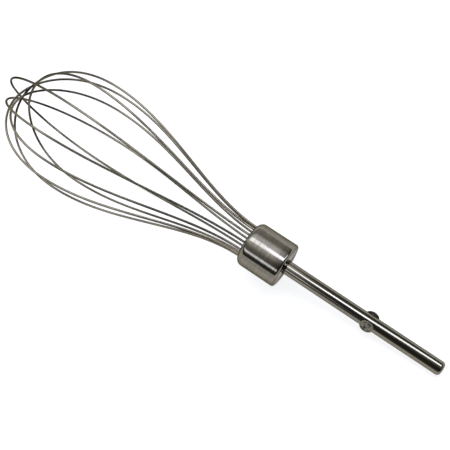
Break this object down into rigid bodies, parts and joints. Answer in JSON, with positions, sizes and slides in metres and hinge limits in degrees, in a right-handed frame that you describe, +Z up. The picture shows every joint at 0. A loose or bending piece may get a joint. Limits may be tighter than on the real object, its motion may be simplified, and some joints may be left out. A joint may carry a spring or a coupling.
{
  "type": "hand mixer whisk",
  "caption": "Balloon whisk attachment for a hand mixer: crossed bent wire loops held in a brushed collar, with a round drive shaft and a cross pin.",
  "frame": {"origin": "centre of the footprint at the table, with the whisk lying on its side", "axes": "+X towards the end of the drive shaft, -X towards the tip of the wires, +Z up from the table"},
  "size_m": [0.2564, 0.062, 0.0631],
  "materials": {
    "brushed_steel": "brushed round the collar",
    "polished_steel": "polished",
    "drawn_wire": "bright drawn wire",
    "plated_steel": "plain zinc plating, hidden inside the collar",
    "grey_nylon": "plain moulded, inside the collar"
  },
  "bodies": {
    "root": {"collar": "brushed_steel", "wire_holder": "grey_nylon", "retaining_washer": "plated_steel", "drive_shaft": "polished_steel", "cross_pin": "polished_steel", "wire_loop_1": "drawn_wire", "wire_loop_2": "drawn_wire", "wire_loop_3": "drawn_wire", "wire_loop_4": "drawn_wire", "wire_loop_5": "drawn_wire", "wire_loop_6": "drawn_wire"}
  },
  "joints": []
}
